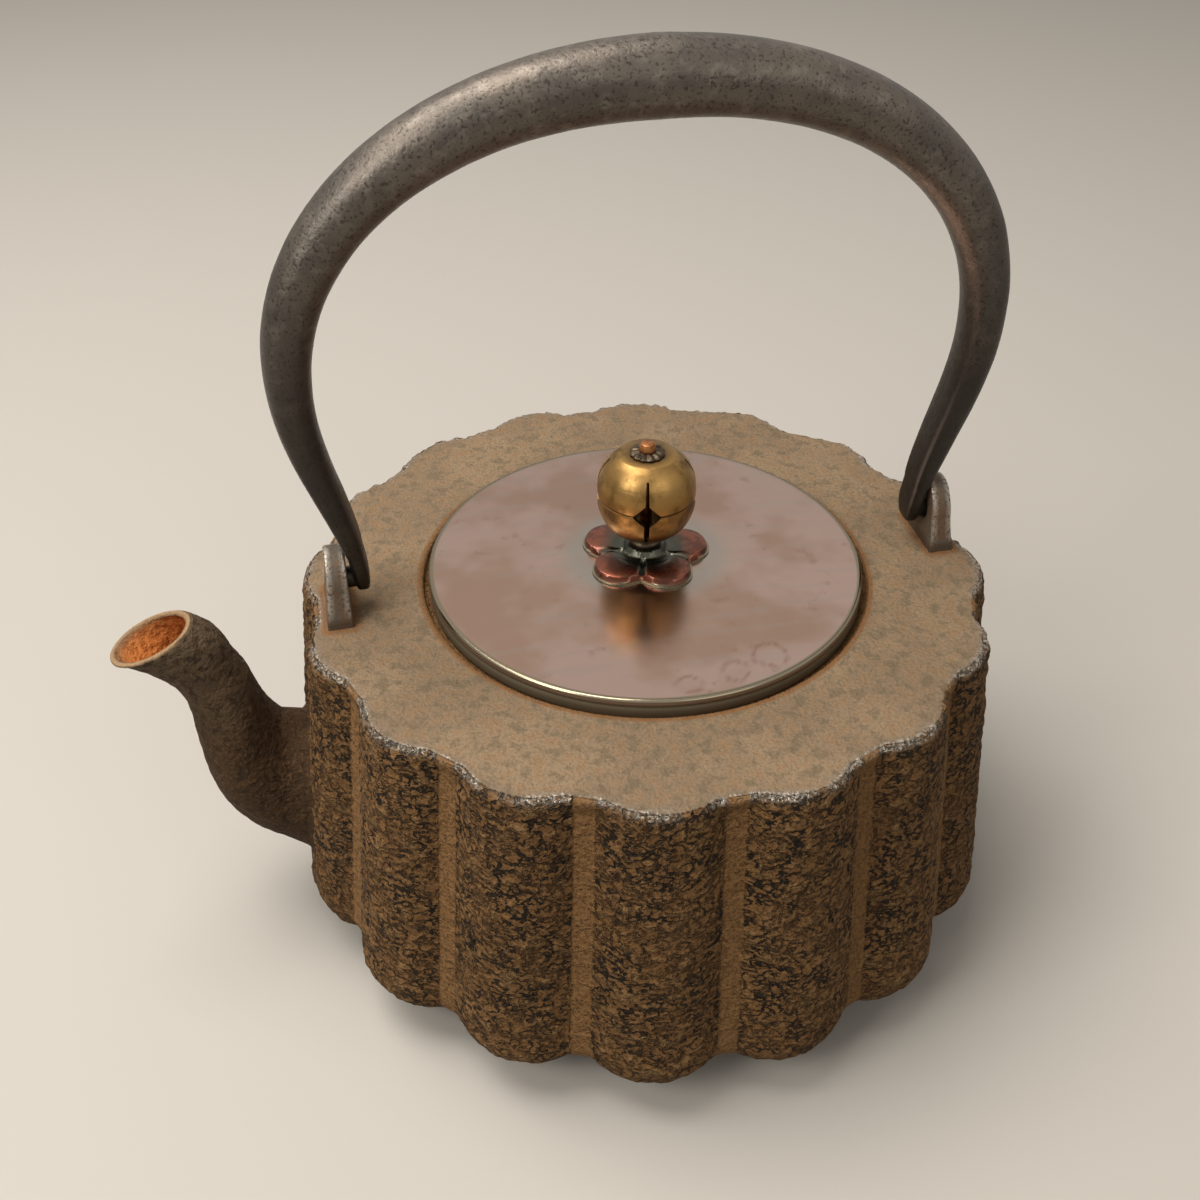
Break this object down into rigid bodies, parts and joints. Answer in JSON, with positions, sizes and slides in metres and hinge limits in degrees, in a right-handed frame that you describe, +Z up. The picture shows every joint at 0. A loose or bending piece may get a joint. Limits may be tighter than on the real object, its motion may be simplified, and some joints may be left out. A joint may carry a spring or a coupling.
{
  "type": "cast iron teapot",
  "caption": "Lobed cast iron kettle with a set-in spout, lift-off copper lid with a turning openwork knob, and a folding hollow bail.",
  "frame": {"origin": "middle of the flat base, on the surface that the kettle stands on", "axes": "+Z up through the knob, -X towards the spout, the bail swings about an axis along X"},
  "size_m": [0.2079, 0.173, 0.2072],
  "materials": {
    "rusted_cast_iron": "rough pebbled casting with orange rust over dark grey",
    "spout_iron": "rough casting, brown, ground pale at the lip",
    "lug_iron": "forged smooth, grey brown",
    "dark_bail_iron": "satin dark brown black with fine texture",
    "lid_copper": "glossy patinated reddish brown copper",
    "ring_copper": "dull patinated copper",
    "washer_copper": "glossy red copper with dark outline",
    "collar_bronze": "dark bronze",
    "knob_brass": "satin golden brass with turning marks",
    "dark_bronze": "dark fluted bronze",
    "pin_copper": "bright copper pin head"
  },
  "bodies": {
    "kettle": {"kettle_body": "rusted_cast_iron", "spout": "spout_iron", "front_lug": "lug_iron", "rear_lug": "lug_iron"},
    "bail": {"bail": "dark_bail_iron"},
    "lid": {"lid_plate": "lid_copper", "lid_locating_ring": "ring_copper", "plum_washer": "washer_copper", "knob_collar": "collar_bronze", "knob_pin": "pin_copper", "pin_under_washer": "ring_copper"},
    "knob": {"knob_lower_shell": "knob_brass", "knob_upper_shell": "knob_brass", "knob_top_washer": "dark_bronze"}
  },
  "joints": [
    {"name": "bail_swing", "type": "hinge", "parent": "kettle", "child": "bail", "pos_m": [0, 0, 0.096], "axis": [1, 0, 0], "range_deg": [-88, 88]},
    {"name": "lid_lift", "type": "slide", "parent": "kettle", "child": "lid", "axis": [0, 0, 1], "range_m": [0, 0.06]},
    {"name": "knob_turn", "type": "hinge", "parent": "lid", "child": "knob", "pos_m": [0, 0, 0.109], "axis": [0, 0, 1], "continuous": true}
  ]
}
